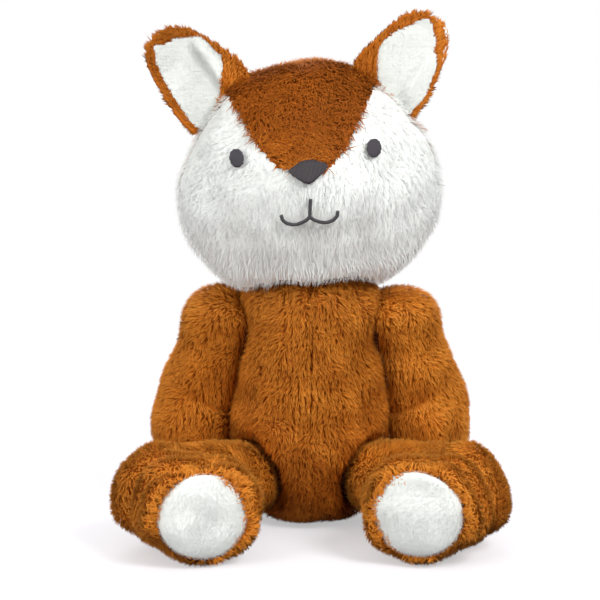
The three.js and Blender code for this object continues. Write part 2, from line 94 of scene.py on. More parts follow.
def remeshed(thing, voxel):
    remesh = thing.modifiers.new("remesh", "REMESH")
    remesh.mode = "VOXEL"
    remesh.voxel_size = voxel
    return finished(thing)


def rows_of(items, key):
    flat = np.empty(len(items) * 3, np.float32)
    items.foreach_get(key, flat)
    return flat.reshape(-1, 3).astype(float)


def points_of(mesh):
    return rows_of(mesh.vertices, "co")


def normals_of(mesh):
    return rows_of(mesh.vertex_normals, "vector")


def move_points(mesh, points):
    mesh.vertices.foreach_set("co", points.astype(np.float32).ravel())
    mesh.update()


def shade_smooth(mesh):
    mesh.polygons.foreach_set("use_smooth", np.ones(len(mesh.polygons), bool))


def wear(thing, material):
    thing.data.materials.clear()
    thing.data.materials.append(material)


def unit(vectors):
    return vectors / np.maximum(np.linalg.norm(vectors, axis=-1, keepdims=True), 1e-9)


def ease(low, high, values):
    share = np.clip((values - low) / (high - low), 0, 1)
    return share * share * (3 - 2 * share)


def ridge(values, place, width):
    return np.exp(-(((values - place) / width) ** 2))


def distance_to(tree, points, reach):
    found = [tree.find_nearest(point, reach)[3] for point in points]
    return np.array([reach if gap is None else gap for gap in found])


def tree_of(*names):
    shape = cad_shape(*names)
    tree = BVHTree.FromBMesh(shape)
    shape.free()
    return tree


def nearest_panel(panels, point):
    return min(panels, key=lambda node: panels[node].find_nearest(point)[3])


def lumps(points, size, seed, waves=14):
    chance = np.random.default_rng(seed)
    total = np.zeros(len(points))
    for _ in range(waves):
        direction = unit(chance.normal(size=3))
        turns = (points @ direction) * 2 * math.pi / (size * chance.uniform(1.3, 2.8))
        total += np.sin(turns + chance.uniform(0, 2 * math.pi))
    return total / waves ** 0.5


def outer_shell(shape):
    left = set(shape.verts)
    shells = []
    while left:
        edge = [left.pop()]
        shell = list(edge)
        while edge:
            near = {link.other_vert(vert) for vert in edge for link in vert.link_edges} & left
            left -= near
            edge = list(near)
            shell += edge
        shells.append(shell)
    biggest = set(max(shells, key=len))
    bmesh.ops.delete(shape, geom=[vert for vert in shape.verts if vert not in biggest], context="VERTS")


def swell(form, most, pressure=4, frames=20):
    start = points_of(form.data)
    cloth = form.modifiers.new("stuffing", "CLOTH")
    cloth.settings.use_pressure = True
    cloth.settings.uniform_pressure_force = pressure
    cloth.settings.effector_weights.gravity = 0
    for moment in range(1, frames + 1):
        scene.frame_set(moment)
    moved = points_of(evaluated(form).data) - start
    far = np.linalg.norm(moved, axis=1, keepdims=True)
    form.modifiers.clear()
    move_points(form.data, start + moved * np.minimum(1, most / np.maximum(far, 1e-9)))
    scene.frame_set(1)


# The backing lies inside the CAD cover by the room that the pile needs, and closer to it beside a neighbour.
def stuffed(name, nodes, voxel, room_of, neighbours, swells=True):
    least_room, seat_room, seat_height = 0.0005, 0.0022, 0.008
    slack, most_swelling, coarse, pile_reach = 0.0016, 0.0024, 0.003, 0.012
    form = remeshed(as_object(name, cad_shape(*nodes)), voxel)
    shape = shape_of(form.data)
    outer_shell(shape)
    for _ in range(3):
        bmesh.ops.smooth_vert(
            shape, verts=shape.verts, factor=0.5, use_axis_x=True, use_axis_y=True, use_axis_z=True
        )
    bmesh.ops.recalc_face_normals(shape, faces=shape.faces)
    envelope = BVHTree.FromBMesh(shape)
    shape.to_mesh(form.data)
    shape.free()
    points, normals = points_of(form.data), normals_of(form.data)
    room = room_of(points)
    for tree, touching, clear in neighbours:
        share = ease(touching, clear, distance_to(tree, points, clear))
        room = np.minimum(room, least_room + (room_of(points) - least_room) * share)
    seated = (normals[:, 2] < -0.6) & (points[:, 2] < seat_height)
    room[seated] = np.minimum(room[seated], seat_room)
    if swells:
        move_points(form.data, points - normals * (room + slack)[:, None])
        swell(form, most_swelling)
    else:
        move_points(form.data, points - normals * room[:, None])
    if voxel > coarse:
        finer = form.modifiers.new("finer", "SUBSURF")
        finer.levels = finer.render_levels = 1
        finished(form)
    shade_smooth(form.data)
    form["pile"] = distance_to(envelope, points_of(form.data), pile_reach).tolist()
    return form


def sculpt(form, folds):
    points, normals = points_of(form.data), normals_of(form.data)
    move_points(form.data, points + normals * folds(points, normals)[:, None])


# One wisp of pile is a three-sided spindle: a root point, a bend where it is thickest, and a tip.
bend_at = 0.4
wisp = bmesh.new()
bmesh.ops.create_cone(wisp, cap_ends=True, segments=3, radius1=1, radius2=0, depth=1 - bend_at)
bmesh.ops.translate(wisp, verts=wisp.verts, vec=(0, 0, (1 + bend_at) / 2))
bmesh.ops.remove_doubles(wisp, verts=wisp.verts, dist=1e-5)
base = [face for face in wisp.faces if abs(face.calc_center_median().z - bend_at) < 0.01]
rooted = bmesh.ops.poke(wisp, faces=base)["verts"]
bmesh.ops.translate(wisp, verts=rooted, vec=(0, 0, -bend_at))
wisp.verts.index_update()
wisp_points = np.array([vert.co[:] for vert in wisp.verts])
wisp_faces = np.array([[vert.index for vert in face.verts] for face in wisp.faces])
wisp.free()
wisp_along = wisp_points[:, 2]
wisp_turn = np.arctan2(wisp_points[:, 1], wisp_points[:, 0])
wisp_girth = np.hypot(wisp_points[:, 0], wisp_points[:, 1])
floor_gap = 0.0003


# Pile of one panel: wisps per square mm over the part of the form that the panel owns, each combed, bent,
# drawn to its tuft and shaded, together with the knitted backing that they grow from.
def pile(
    name, form, owner, mine, comb, finish, density, length, width,
    tuft=0.4, shade=None, wild=0.3, gloss=0.5, ruffled=0.5, parted=None, beside=None, longer=None,
    turned=None, thin=0.0009, seed=1,
):
    chance = np.random.default_rng(seed)
    mesh = form.data
    mesh.calc_loop_triangles()
    corners = np.empty(len(mesh.loop_triangles) * 3, np.int32)
    mesh.loop_triangles.foreach_get("vertices", corners)
    corners = corners.reshape(-1, 3)
    points, normals, height = points_of(mesh), normals_of(mesh), np.array(form["pile"])
    a, b, c = (points[corners[:, k]] for k in range(3))
    area = np.linalg.norm(np.cross(b - a, c - a), axis=1) / 2
    belongs = np.array([owner(point) == mine for point in (a + b + c) / 3])
    near = np.zeros(len(points), bool)
    near[corners[belongs].ravel()] = True
    wanted = near[corners].any(axis=1)
    reach = np.cumsum(np.where(wanted, area, 0))
    count = int(reach[-1] * density * 1e6)
    at = (np.arange(count) + chance.random(count)) / count * reach[-1]
    face = np.searchsorted(reach, at).clip(max=len(area) - 1)
    p, q = chance.random(count), chance.random(count)
    over = p + q > 1
    p[over], q[over] = 1 - p[over], 1 - q[over]
    weights = np.stack([1 - p - q, p, q], 1)[:, :, None]
    root = (points[corners[face]] * weights).sum(1)
    normal = unit((normals[corners[face]] * weights).sum(1))
    high = (height[corners[face]] * weights[:, :, 0]).sum(1)

    bald, past, full_room, shortest = 0.0001, 0.0008, 0.0024, 0.0016
    keep = (high > bald) & np.array([owner(point) == mine for point in root])
    root, normal, high = root[keep], normal[keep], high[keep] + past
    count = len(root)
    full = length * chance.uniform(0.72, 1.15, count) * ease(0.0, full_room, high) ** 0.7
    if beside is not None:
        lifted, widest_gap, most_filled = 0.0006, 0.009, 0.0055
        hits = [beside.ray_cast(place + up * lifted, up, widest_gap)[3] for place, up in zip(root, normal)]
        gap = np.array([0.0 if hit is None else hit for hit in hits])
        high = np.maximum(high, np.minimum(gap * 0.75 + past, most_filled) * (gap > 0))
        full = np.maximum(full, high * 1.25)
    if longer is not None:
        full = full * longer(root, normal)
    full = np.maximum(full, shortest)

    ruffle_size, clump_size = 0.011, 0.0036
    lay = comb(root, normal) + wild * chance.normal(size=(count, 3))
    lay += ruffled * np.stack([lumps(root, ruffle_size, seed + k) for k in (40, 41, 42)], 1)
    if parted is not None:
        tree, reach_out, strength = parted
        nearest = [tree.find_nearest(point, reach_out) for point in root]
        for k, (place, _, _, gap) in enumerate(nearest):
            if place is not None:
                away = root[k] - np.array(place)
                lay[k] += away / max(gap, 1e-5) * strength * (1 - gap / reach_out)
    lay = unit(lay - (lay * normal).sum(1, keepdims=True) * normal)
    side = np.cross(normal, lay)
    clump = np.floor(root / clump_size)
    hashed = (clump * np.array([12.9898, 78.233, 37.719])).sum(1)
    jitter = np.stack([np.modf(np.abs(np.sin(hashed + k)) * 43758.5)[0] for k in range(3)], 1)
    pull = (clump + jitter) * clump_size - root
    pull -= (pull * normal).sum(1, keepdims=True) * normal

    rise = np.clip(high / full * chance.uniform(0.75, 1.15, count) ** 2, 0.1, 0.95)
    first = np.clip(rise * 1.45, 0, 0.97)
    last = np.clip(rise * 0.7, 0, 0.9)
    lower, upper = full[:, None] * bend_at, full[:, None] * (1 - bend_at)
    bend = root + lower * (normal * first[:, None] + lay * np.sqrt(1 - first ** 2)[:, None])
    tip = bend + upper * (normal * last[:, None] + lay * np.sqrt(1 - last ** 2)[:, None])
    steps = [root - normal * floor_gap, bend + pull * tuft * bend_at, tip + pull * tuft]
    thick = width * chance.uniform(0.7, 1.25, count)
    lit = normal if turned is None else unit(turned(root, normal))
    placed = np.empty((count, len(wisp_along), 3))
    leaning = np.empty_like(placed)
    for k, (along, turn, girth) in enumerate(zip(wisp_along, wisp_turn, wisp_girth)):
        out = side * math.cos(turn) + normal * math.sin(turn) * 0.35
        placed[:, k] = steps[int(along > 0.2) + int(along > 0.9)] + out * (thick * girth / 2)[:, None]
        leaning[:, k] = unit(out * gloss + lit + lay * 0.2 * along)
    placed[:, :, 2] = np.maximum(placed[:, :, 2], floor_gap)

    tone = 0.5 + 0.17 * chance.normal(size=count) + 0.15 * lumps(root, 0.01, seed + 50)
    tone += 0.14 * (jitter[:, 0] - 0.5)
    if shade is not None:
        tone += shade(root, normal)
    tone = np.clip(tone, 0.03, 0.95)
    around = (wisp_turn / math.pi) * 0.04
    u = np.clip(tone[:, None] + around[None, :], 0.002, 0.998)
    v = np.clip(0.03 + wisp_along * 0.95 + 0.012 * np.cos(wisp_turn * 2), 0, 1)
    pile_uv = np.stack([u, np.broadcast_to(v, u.shape)], 2)

    backing = shape_of(mesh)
    backing.faces.ensure_lookup_table()
    others = [f for f in backing.faces if owner(f.calc_center_median()) != mine]
    bmesh.ops.delete(backing, geom=others, context="FACES")
    if any(edge.is_boundary for edge in backing.edges):
        backing.normal_update()
        grown = bmesh.ops.extrude_face_region(backing, geom=backing.faces[:], use_keep_orig=True)["geom"]
        inner = [item for item in grown if isinstance(item, bmesh.types.BMVert)]
        for vert in inner:
            vert.co -= vert.normal * thin
        bmesh.ops.recalc_face_normals(backing, faces=backing.faces)
    bmesh.ops.triangulate(backing, faces=backing.faces)
    backing.verts.index_update()
    back_points = np.array([vert.co[:] for vert in backing.verts])
    backing.normal_update()
    back_normals = np.array([vert.normal[:] for vert in backing.verts])
    back_faces = np.array([[vert.index for vert in f.verts] for f in backing.faces])
    backing.free()
    back_points[:, 2] = np.maximum(back_points[:, 2], floor_gap)
    back_u = np.clip(0.5 + back_points @ np.array([1.5, 1.1, 0.7]), 0.02, 0.98)
    back_v = np.clip(0.3 + back_points @ np.array([-0.11, 0.17, 0.13]), 0.2, 0.4)

    size = len(wisp_along)
    all_points = np.concatenate([placed.reshape(-1, 3), back_points])
    all_normals = np.concatenate([leaning.reshape(-1, 3), back_normals])
    faces = (wisp_faces[None] + (np.arange(count) * size)[:, None, None]).reshape(-1, 3)
    faces = np.concatenate([faces, back_faces + count * size])
    uv = np.concatenate([pile_uv.reshape(-1, 2), np.stack([back_u, back_v], 1)])
    skin = bpy.data.meshes.new(name)
    skin.vertices.add(len(all_points))
    skin.vertices.foreach_set("co", all_points.astype(np.float32).ravel())
    skin.loops.add(faces.size)
    skin.loops.foreach_set("vertex_index", faces.astype(np.int32).ravel())
    skin.polygons.add(len(faces))
    skin.polygons.foreach_set("loop_start", np.arange(0, faces.size, 3, dtype=np.int32))
    shade_smooth(skin)
    skin.update(calc_edges=True)
    skin.uv_layers.new(name="OFBake").data.foreach_set("uv", uv[faces.ravel()].astype(np.float32).ravel())
    skin.normals_split_custom_set_from_vertices(all_normals)
    skin.materials.append(finish)
    return linked(name, skin)


homes = {node: body for body, held in frame["record"]["behaviour"]["bodies"].items() for node in held}


def settle(piece, slot, fill, *nodes):
    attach(piece, homes[nodes[0]])
    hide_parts(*nodes)


def paint(red, green, blue):
    shares = np.array([red, green, blue]) / 255
    linear = np.where(shares <= 0.04045, shares / 12.92, ((shares + 0.055) / 1.055) ** 2.4)
    return (*linear.tolist(), 1.0)


def plain_material(name, roughness, sheen=0.0, specular=0.25):
    material = bpy.data.materials.new(name)
    material.use_nodes = True
    shader = material.node_tree.nodes["Principled BSDF"]
    shader.inputs["Roughness"].default_value = roughness
    shader.inputs["Sheen Weight"].default_value = sheen
    shader.inputs["Specular IOR Level"].default_value = specular
    return material, material.node_tree.nodes, material.node_tree.links, shader


def ramp(nodes, links, factor, *stops):
    node = nodes.new("ShaderNodeValToRGB")
    while len(node.color_ramp.elements) < len(stops):
        node.color_ramp.elements.new(0.5)
    for element, (place, colour) in zip(node.color_ramp.elements, stops):
        element.position = place
        element.color = colour
    links.new(factor, node.inputs["Fac"])
    return node.outputs["Color"]


def blended(nodes, links, factor, first, second, mode="MIX"):
    node = nodes.new("ShaderNodeMix")
    node.data_type = "RGBA"
    node.blend_type = mode
    for socket, value in ((node.inputs[0], factor), (node.inputs[6], first), (node.inputs[7], second)):
        if isinstance(value, (tuple, float)):
            socket.default_value = value
        else:
            links.new(value, socket)
    return node.outputs[2]


def texture(nodes, links, kind, place, bands=None, **settings):
    node = nodes.new(kind)
    for key, value in settings.items():
        node.inputs[key].default_value = value
    if bands:
        node.bands_direction = bands
    links.new(place, node.inputs["Vector"])
    return node.outputs["Fac"]


def mapped(nodes, links, place, key, value):
    node = nodes.new("ShaderNodeMapping")
    node.inputs[key].default_value = value
    links.new(place, node.inputs["Vector"])
    return node.outputs["Vector"]


def bumped(nodes, links, shader, height, strength, depth):
    bump = nodes.new("ShaderNodeBump")
    bump.inputs["Strength"].default_value = strength
    bump.inputs["Distance"].default_value = depth
    links.new(height, bump.inputs["Height"])
    links.new(bump.outputs["Normal"], shader.inputs["Normal"])


def pile_finish(name, dark, light, roughness, streak):
    material, nodes, links, shader = plain_material(name, roughness, specular=0.1)
    uv = nodes.new("ShaderNodeUVMap")
    uv.uv_map = "OFBake"
    split = nodes.new("ShaderNodeSeparateXYZ")
    links.new(uv.outputs["UV"], split.inputs[0])
    deep = ramp(nodes, links, split.outputs["Y"], *dark)
    pale = ramp(nodes, links, split.outputs["Y"], *light)
    colour = blended(nodes, links, split.outputs["X"], deep, pale)
    stretched = mapped(nodes, links, uv.outputs["UV"], "Scale", (190, 2.2, 1))
    hairs = texture(nodes, links, "ShaderNodeTexNoise", stretched, Scale=1.0, Detail=2.0)
    lines = ramp(nodes, links, hairs, (0.3, (streak, streak, streak, 1)), (0.7, (1, 1, 1, 1)))
    colour = blended(nodes, links, 1.0, colour, lines, "MULTIPLY")
    links.new(colour, shader.inputs["Base Color"])
    bumped(nodes, links, shader, hairs, 0.25, 0.0004)
    return material


def fibre_finish(name, colour, shadow, size):
    material, nodes, links, shader = plain_material(name, 0.95, 0.2)
    place = nodes.new("ShaderNodeTexCoord").outputs["Object"]
    tangle = texture(nodes, links, "ShaderNodeTexNoise", place, Scale=1 / size, Detail=6.0, Distortion=1.5)
    links.new(ramp(nodes, links, tangle, (0.35, shadow), (0.65, colour)), shader.inputs["Base Color"])
    bumped(nodes, links, shader, tangle, 0.6, size * 0.2)
    return material


# Filling: crimped white polyester fibre, pressed into the shape of its cover and a little smaller.
def stuffing(name, form, *nodes):
    depth, crimp, crimp_size, seed = 0.0026, 0.0007, 0.012, 5
    core = remeshed(as_object(name, shape_of(form.data)), 0.004)
    points, normals = points_of(core.data), normals_of(core.data)
    inside = depth + crimp * (1 + lumps(points, crimp_size, seed))
    move_points(core.data, points - normals * inside[:, None])
    shade_smooth(core.data)
    core.data.materials.append(fibre_white)
    settle(core, "filling", 0.8, *nodes)


rust = pile_finish(
    "rust_plush",
    ((0.0, paint(90, 36, 4)), (0.4, paint(144, 69, 10)), (1.0, paint(180, 96, 18))),
    ((0.0, paint(136, 62, 10)), (0.4, paint(212, 118, 28)), (1.0, paint(252, 168, 66))),
    0.62,
    0.8,
)
fibre_white = fibre_finish("polyester_fibre", paint(236, 236, 232), paint(196, 197, 196), 0.002)
long_pile = {"density": 1.3, "length": 0.0056, "width": 0.00078}
pile_room, touching, clear = 0.0018, 0.0006, 0.003


def even_room(points):
    return np.full(len(points), pile_room)


head_panel_nodes = ["head_crown", "cheek_left", "cheek_right", "head_back_left", "head_back_right"]
head_nodes = [*head_panel_nodes, "head_filling"]
arm_nodes = ["arm_cover_left", "arm_cover_right"]
leg_nodes = ["leg_cover_left", "leg_cover_right"]
body_panels = ["body_front_left", "body_front_right", "body_back_left", "body_back_right"]
side_seam_y = -0.0055
body_sides = tree_of(*head_nodes, *arm_nodes, *leg_nodes, "tail_cover")
body_form = stuffed(
    "body_form", [*body_panels, "body_filling", "seat_pellet_bag"], 0.005, even_room,
    [(body_sides, touching, clear)],
)


def body_folds(points, normals):
    x, y, z = points.T
    front = ease(0.0, -0.4, normals[:, 1])
    back = ease(0.0, 0.4, normals[:, 1])
    seam = -0.0026 * ridge(x, 0.0015 * np.sin(z * 60), 0.0026) * front * ease(0.07, 0.105, z)
    spine = -0.0014 * ridge(x, 0, 0.002) * back
    around = np.arctan2(y - side_seam_y, x)
    gathers = 0.0009 * np.sin(around * 13 + 3 * np.sin(around * 4)) * ease(0.095, 0.135, z)
    waist_line = z + 0.012 * np.sin(x * 55 + 1)
    waist = -0.001 * ridge(waist_line, 0.07, 0.006) * front * (0.5 + 0.5 * np.sin(x * 90))
    belly = 0.0016 * ridge(z, 0.05, 0.016) * front
    shoulders = 0.005 * ridge(z, 0.138, 0.016)
    shoulders *= ease(0.4, 0.8, np.abs(normals[:, 0])) * ease(0.022, 0.032, np.abs(x))
    return seam + spine + gathers + waist + belly + shoulders + 0.0008 * lumps(points, 0.017, 3)


def body_owner(point):
    return ("front" if point[1] < side_seam_y else "back") + ("_left" if point[0] > 0 else "_right")


def body_comb(root, normal):
    x = root[:, 0]
    parted = np.sign(x) * 0.5 * ridge(x, 0, 0.008) * (root[:, 1] < 0) * ease(0.07, 0.105, root[:, 2])
    return np.stack([parted + 5 * x, np.zeros_like(x), -np.ones_like(x)], 1)


# Tone of the body pile: knitted rows across it, a small lift overall, painted shade in the pleat of the chest
# seam, and painted shade that darkens the pile towards the seat.
def body_rows_and_painted_shade(root, normal):
    row_pitch = 0.0019
    rows = 0.05 * np.sin(root[:, 2] * 2 * math.pi / row_pitch)
    seam = -0.25 * ridge(root[:, 0], 0, 0.0022) * (root[:, 1] < 0) * ease(0.07, 0.1, root[:, 2])
    return 0.12 + rows + seam - 0.5 * ease(0.085, 0.02, root[:, 2])


sculpt(body_form, body_folds)
for number, panel in enumerate(body_panels):
    cover = pile(
        panel + "_pile", body_form, body_owner, panel[len("body_"):], body_comb, rust,
        **long_pile, shade=body_rows_and_painted_shade, beside=body_sides, seed=10 + number,
    )
    settle(cover, "rust_pile", 0.75, panel)
stuffing("body_fibre", body_form, "body_filling")


# Bead bag: a small cotton bag of plastic beads sewn into the seat, which keeps the fox upright.
# The beads press small bumps into the thin woven cotton.
wave_length = 0.314


def woven_finish(name, colour, shadow, pitch):
    material, nodes, links, shader = plain_material(name, 0.85)
    place = nodes.new("ShaderNodeTexCoord").outputs["Object"]
    weaves = [
        texture(nodes, links, "ShaderNodeTexWave", place, bands, Scale=wave_length / pitch, Distortion=0.6)
        for bands in ("X", "Z")
    ]
    crossed = blended(nodes, links, 0.5, *weaves)
    links.new(ramp(nodes, links, crossed, (0.2, shadow), (0.7, colour)), shader.inputs["Base Color"])
    bumped(nodes, links, shader, crossed, 0.5, pitch * 0.4)
    return material


bead_bag = remeshed(as_object("bead_bag", cad_shape("seat_pellet_bag")), 0.0025)
bag_points, bag_normals = points_of(bead_bag.data), normals_of(bead_bag.data)
bead_size, bag_inset = 0.0028, 0.006
beads = 0.0005 * np.abs(lumps(bag_points, bead_size, 8)) + 0.0008 * lumps(bag_points, 0.02, 9) - bag_inset
move_points(bead_bag.data, bag_points + bag_normals * beads[:, None])
shade_smooth(bead_bag.data)
wear(bead_bag, woven_finish("bead_bag_cotton", paint(222, 214, 198), paint(176, 166, 148), 0.0006))
settle(bead_bag, "pellet_bag", 0.5, "seat_pellet_bag")


# Head: a crown panel of rust-brown plush runs from between the ears down to a point at the nose. White cheek
# panels meet it in a V and each other under the nose, and two rust-brown panels close the back. The brown
# pile is 8 mm long. The white is 6 mm, flows outwards and down over the cheeks and grows to a wispy chin.
white = pile_finish(
    "white_plush",
    ((0.0, paint(238, 240, 236)), (0.4, paint(243, 245, 241)), (1.0, paint(247, 249, 245))),
    ((0.0, paint(244, 246, 242)), (0.4, paint(248, 250, 246)), (1.0, paint(251, 253, 249))),
    0.75,
    0.985,
)
face_marks = tree_of("eye_left", "eye_right", "nose", "mouth_stitch")
ear_nodes = ["ear_back_left", "ear_back_right", "ear_lining_left", "ear_lining_right"]
head_sides = tree_of(*body_panels, *arm_nodes)
crown_height, face_room = 0.24, 0.0013
head_form = stuffed(
    "head_form", head_nodes, 0.005,
    lambda points: np.where(points[:, 2] > crown_height, pile_room, face_room),
    [(head_sides, touching, 0.0028), (tree_of(*ear_nodes), 0.0004, clear), (face_marks, touching, 0.011)],
)
head_panels = {node: tree_of(node) for node in head_panel_nodes}
nose_low, nose_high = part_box("nose")
nose_place = np.array((nose_low + nose_high) / 2)


def head_owner(point):
    panel = nearest_panel(head_panels, point)
    under_nose = panel == "head_crown" and point[1] < -0.04 and point[2] < 0.2215
    before_seam = "back" in panel and point[1] < 0.008 and point[2] < 0.235
    if under_nose or before_seam:
        return "cheek_left" if point[0] > nose_place[0] else "cheek_right"
    return panel


def head_folds(points, normals):
    x, y, z = points.T
    calm = ease(0.004, 0.014, distance_to(face_marks, points, 0.014))
    front = ease(0.0, -0.4, normals[:, 1])
    chin = -0.0018 * ridge(x - nose_place[0], 0.002, 0.0035) * front * ease(0.185, 0.165, z)
    parting = -0.0012 * ridge(x, 0, 0.002) * ease(0.0, 0.4, normals[:, 1])
    return calm * (0.0013 * lumps(points, 0.026, 13) + 0.0006 * lumps(points, 0.011, 14)) + chin + parting


def face_comb(root, normal):
    away = unit((root - nose_place) * np.array([1, 0.35, 1]))
    return away * 0.55 + np.array([0, 0, -0.95])


def crown_comb(root, normal):
    return unit(nose_place - root)


def nape_comb(root, normal):
    return np.stack([2 * root[:, 0], np.full(len(root), 0.2), -np.ones(len(root))], 1)


def chin_length(root, normal):
    below = ease(-0.35, -0.7, normal[:, 2])
    return 1 + (0.9 * (1 - below) - 0.35 * below) * ease(0.172, 0.15, root[:, 2])


def chin_turn(root, normal):
    return normal + np.array([0, -0.9, 0.3]) * ease(0.184, 0.158, root[:, 2:])


# Painted shade: the crown's pile is made darker, most towards the top of the head, for the shade seen deep in
# its standing pile.
def crown_painted_shade(root, normal):
    return -0.68 + 0.46 * ease(0.25, 0.215, root[:, 2])


# The white pile is lifted a little over the cheeks, and painted shade takes it back down towards the chin,
# under the head.
def cheek_painted_chin_shade(root, normal):
    chin = ease(0.185, 0.15, root[:, 2])
    return 0.12 - 0.12 * chin


sculpt(head_form, head_folds)
brown_pile = {"length": 0.0078, "width": 0.00085, "gloss": 0.5, "ruffled": 0.5, "beside": head_sides}
crown_pile = {**brown_pile, "density": 1.6, "tuft": 0.55, "wild": 0.6, "shade": crown_painted_shade}
nape_pile = {**brown_pile, "density": 1.1, "tuft": 0.45, "wild": 0.3}
cheek_pile = {
    "length": 0.0062, "width": 0.00044, "gloss": 0.08, "ruffled": 0.3,
    "density": 0.45, "tuft": 0.22, "wild": 0.2, "shade": cheek_painted_chin_shade,
}
head_looks = [(rust, "rust_pile", crown_comb, crown_pile)]
head_looks += [(white, "white_pile", face_comb, cheek_pile)] * 2
head_looks += [(rust, "rust_pile", nape_comb, nape_pile)] * 2
for number, (panel, (finish, slot, comb, look)) in enumerate(zip(head_panel_nodes, head_looks)):
    cover = pile(
        panel + "_pile", head_form, head_owner, panel, comb, finish, **look,
        parted=(face_marks, 0.004, 1.6), longer=chin_length, turned=chin_turn, seed=20 + number,
    )
    settle(cover, slot, 0.85, panel)
stuffing("head_fibre", head_form, "head_filling")


# Eyes, nose and mouth: embroidered in dark grey thread. The eyes are upright ovals and the nose is a rounded
# triangle, each filled with upright satin stitches side by side over a backing. The mouth is one line of
# two-ply thread: straight down from the nose, then a shallow curve to each side with a turned-up end.
head_lean = math.radians(4.2)
across = np.array([math.cos(head_lean), 0, math.sin(head_lean)])
upright = np.array([-math.sin(head_lean), 0, math.cos(head_lean)])


def thread_finish(name, colour, shadow, pitch):
    material, nodes, links, shader = plain_material(name, 0.5, 0.04, 0.5)
    place = nodes.new("ShaderNodeTexCoord").outputs["Object"]
    turned = mapped(nodes, links, place, "Rotation", (0, 0.6, 0))
    twist = texture(nodes, links, "ShaderNodeTexWave", turned, "Z", Scale=wave_length / pitch, Distortion=1.5)
    links.new(ramp(nodes, links, twist, (0.1, shadow), (0.8, colour)), shader.inputs["Base Color"])
    bumped(nodes, links, shader, twist, 0.4, pitch * 0.3)
    return material


def threads(name, lines, radius):
    curve = bpy.data.curves.new(name, "CURVE")
    curve.dimensions = "3D"
    curve.bevel_depth = radius
    curve.bevel_resolution = 1
    curve.use_fill_caps = True
    for line in lines:
        spline = curve.splines.new("POLY")
        spline.points.add(len(line) - 1)
        spline.points.foreach_set("co", np.append(line, np.ones((len(line), 1)), axis=1).ravel())
    drawn = linked(name + "_line", curve)
    mesh = bpy.data.meshes.new_from_object(evaluated(drawn))
    bpy.data.objects.remove(drawn)
    mesh.name = name
    shade_smooth(mesh)
    return linked(name, mesh)


def join_into(first, second):
    shape = shape_of(first.data)
    shape.from_mesh(second.data)
    shape.to_mesh(first.data)
    shape.free()
    bpy.data.objects.remove(second)


def satin(name, node, pitch, finish, seed, grown=(1, 1, 1), shifted=(0, 0, 0)):
    search_step, uneven, loft, uneven_loft, sunk, turns = 0.0003, 0.00012, 0.00035, 0.00005, 0.0009, 9
    chance = np.random.default_rng(seed)
    tree = tree_of(node)
    low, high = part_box(node)
    middle = np.array((low + high) / 2)
    half = max(high - low) / 2 * 1.1
    lines = []
    for offset in np.arange(-half, half, pitch):
        hits = []
        for rise in np.arange(-half, half, search_step):
            at = middle + across * offset + upright * rise
            hit = tree.ray_cast(Vector((at[0], low[1] - 0.01, at[2])), Vector((0, 1, 0)))[0]
            if hit is not None:
                hits.append(np.array(hit))
        if len(hits) < 5:
            continue
        ends = chance.uniform(-uneven, uneven, 2)
        hits = np.array(hits)[np.linspace(0, len(hits) - 1, turns).round().astype(int)]
        arch = np.sin(np.linspace(0, math.pi, turns)) * loft + chance.uniform(-uneven_loft, uneven_loft)
        hits[:, 1] -= arch
        start, end = hits[0] - upright * ends[0], hits[-1] + upright * ends[1]
        start[1] += sunk
        end[1] += sunk
        lines.append(np.concatenate([[start], hits, [end]]))
    patch = threads(name, lines, pitch * 0.56)
    ground = as_object(name + "_ground", cad_shape(node))
    points = points_of(ground.data)
    move_points(ground.data, middle + (points - middle) * 0.95)
    join_into(patch, ground)
    points = points_of(patch.data)
    move_points(patch.data, middle + (points - middle) * grown + shifted)
    wear(patch, finish)
    settle(patch, "embroidery", None, node)


eye_thread = thread_finish("eye_thread", paint(74, 68, 76), paint(34, 30, 36), 0.0009)
nose_thread = thread_finish("nose_thread", paint(64, 56, 60), paint(28, 24, 27), 0.0009)
satin("eye_left_satin", "eye_left", 0.0005, eye_thread, 31)
satin("eye_right_satin", "eye_right", 0.0005, eye_thread, 32)
satin("nose_satin", "nose", 0.00066, nose_thread, 33, (1.12, 1, 0.95), (0.001, 0.0003, 0.001))

mouth_width, mouth_drop, mouth_top = 0.033, 0.012, 0.081
mouth_place, mouth_sunk = np.array([0.004, 0, 0.126]), 0.0004
ply_offset, ply_radius, ply_twist, ply_step = 0.0005, 0.00066, 0.0024, 0.00025
mouth_tree = tree_of("mouth_stitch")
curl = [[0, 0], [0.14, -0.16], [0.28, -0.26], [0.46, -0.34], [0.62, -0.35], [0.8, -0.27]]
curl += [[0.94, -0.1], [0.98, 0.14]]
paths = [[[0.0012, mouth_top - 0.002], [0.0006, mouth_top - 0.006], [0, mouth_top - mouth_drop]]]
for way in (-1, 1):
    half = [[way * out * mouth_width / 2, mouth_top - mouth_drop + up * mouth_drop] for out, up in curl]
    paths.append(half)
plies = []
for path in paths:
    path = np.array(path)
    run = np.append(0, np.cumsum(np.linalg.norm(np.diff(path, axis=0), axis=1)))
    at = np.arange(0, run[-1], ply_step)
    flat = np.stack([np.interp(at, run, path[:, k]) for k in (0, 1)], 1)
    centre = flat[:, :1] * across + flat[:, 1:] * upright + mouth_place
    centre[:, 1] = [mouth_tree.find_nearest((p[0], -0.075, p[2]))[0][1] - mouth_sunk for p in centre]
    centre[:, 1] = np.convolve(np.pad(centre[:, 1], 4, mode="edge"), np.ones(9) / 9, mode="valid")
    ahead = unit(np.gradient(centre, axis=0))
    out = unit(np.cross(ahead, [0, 1, 0]))
    up = np.cross(out, ahead)
    for phase in (0, math.pi):
        turn = (at / ply_twist * 2 * math.pi + phase)[:, None]
        plies.append(centre + ply_offset * (np.cos(turn) * out + np.sin(turn) * up))
mouth = threads("mouth_twist", plies, ply_radius)
wear(mouth, thread_finish("mouth_thread", paint(70, 67, 72), paint(42, 40, 44), 0.0005))
settle(mouth, "embroidery", None, "mouth_stitch")


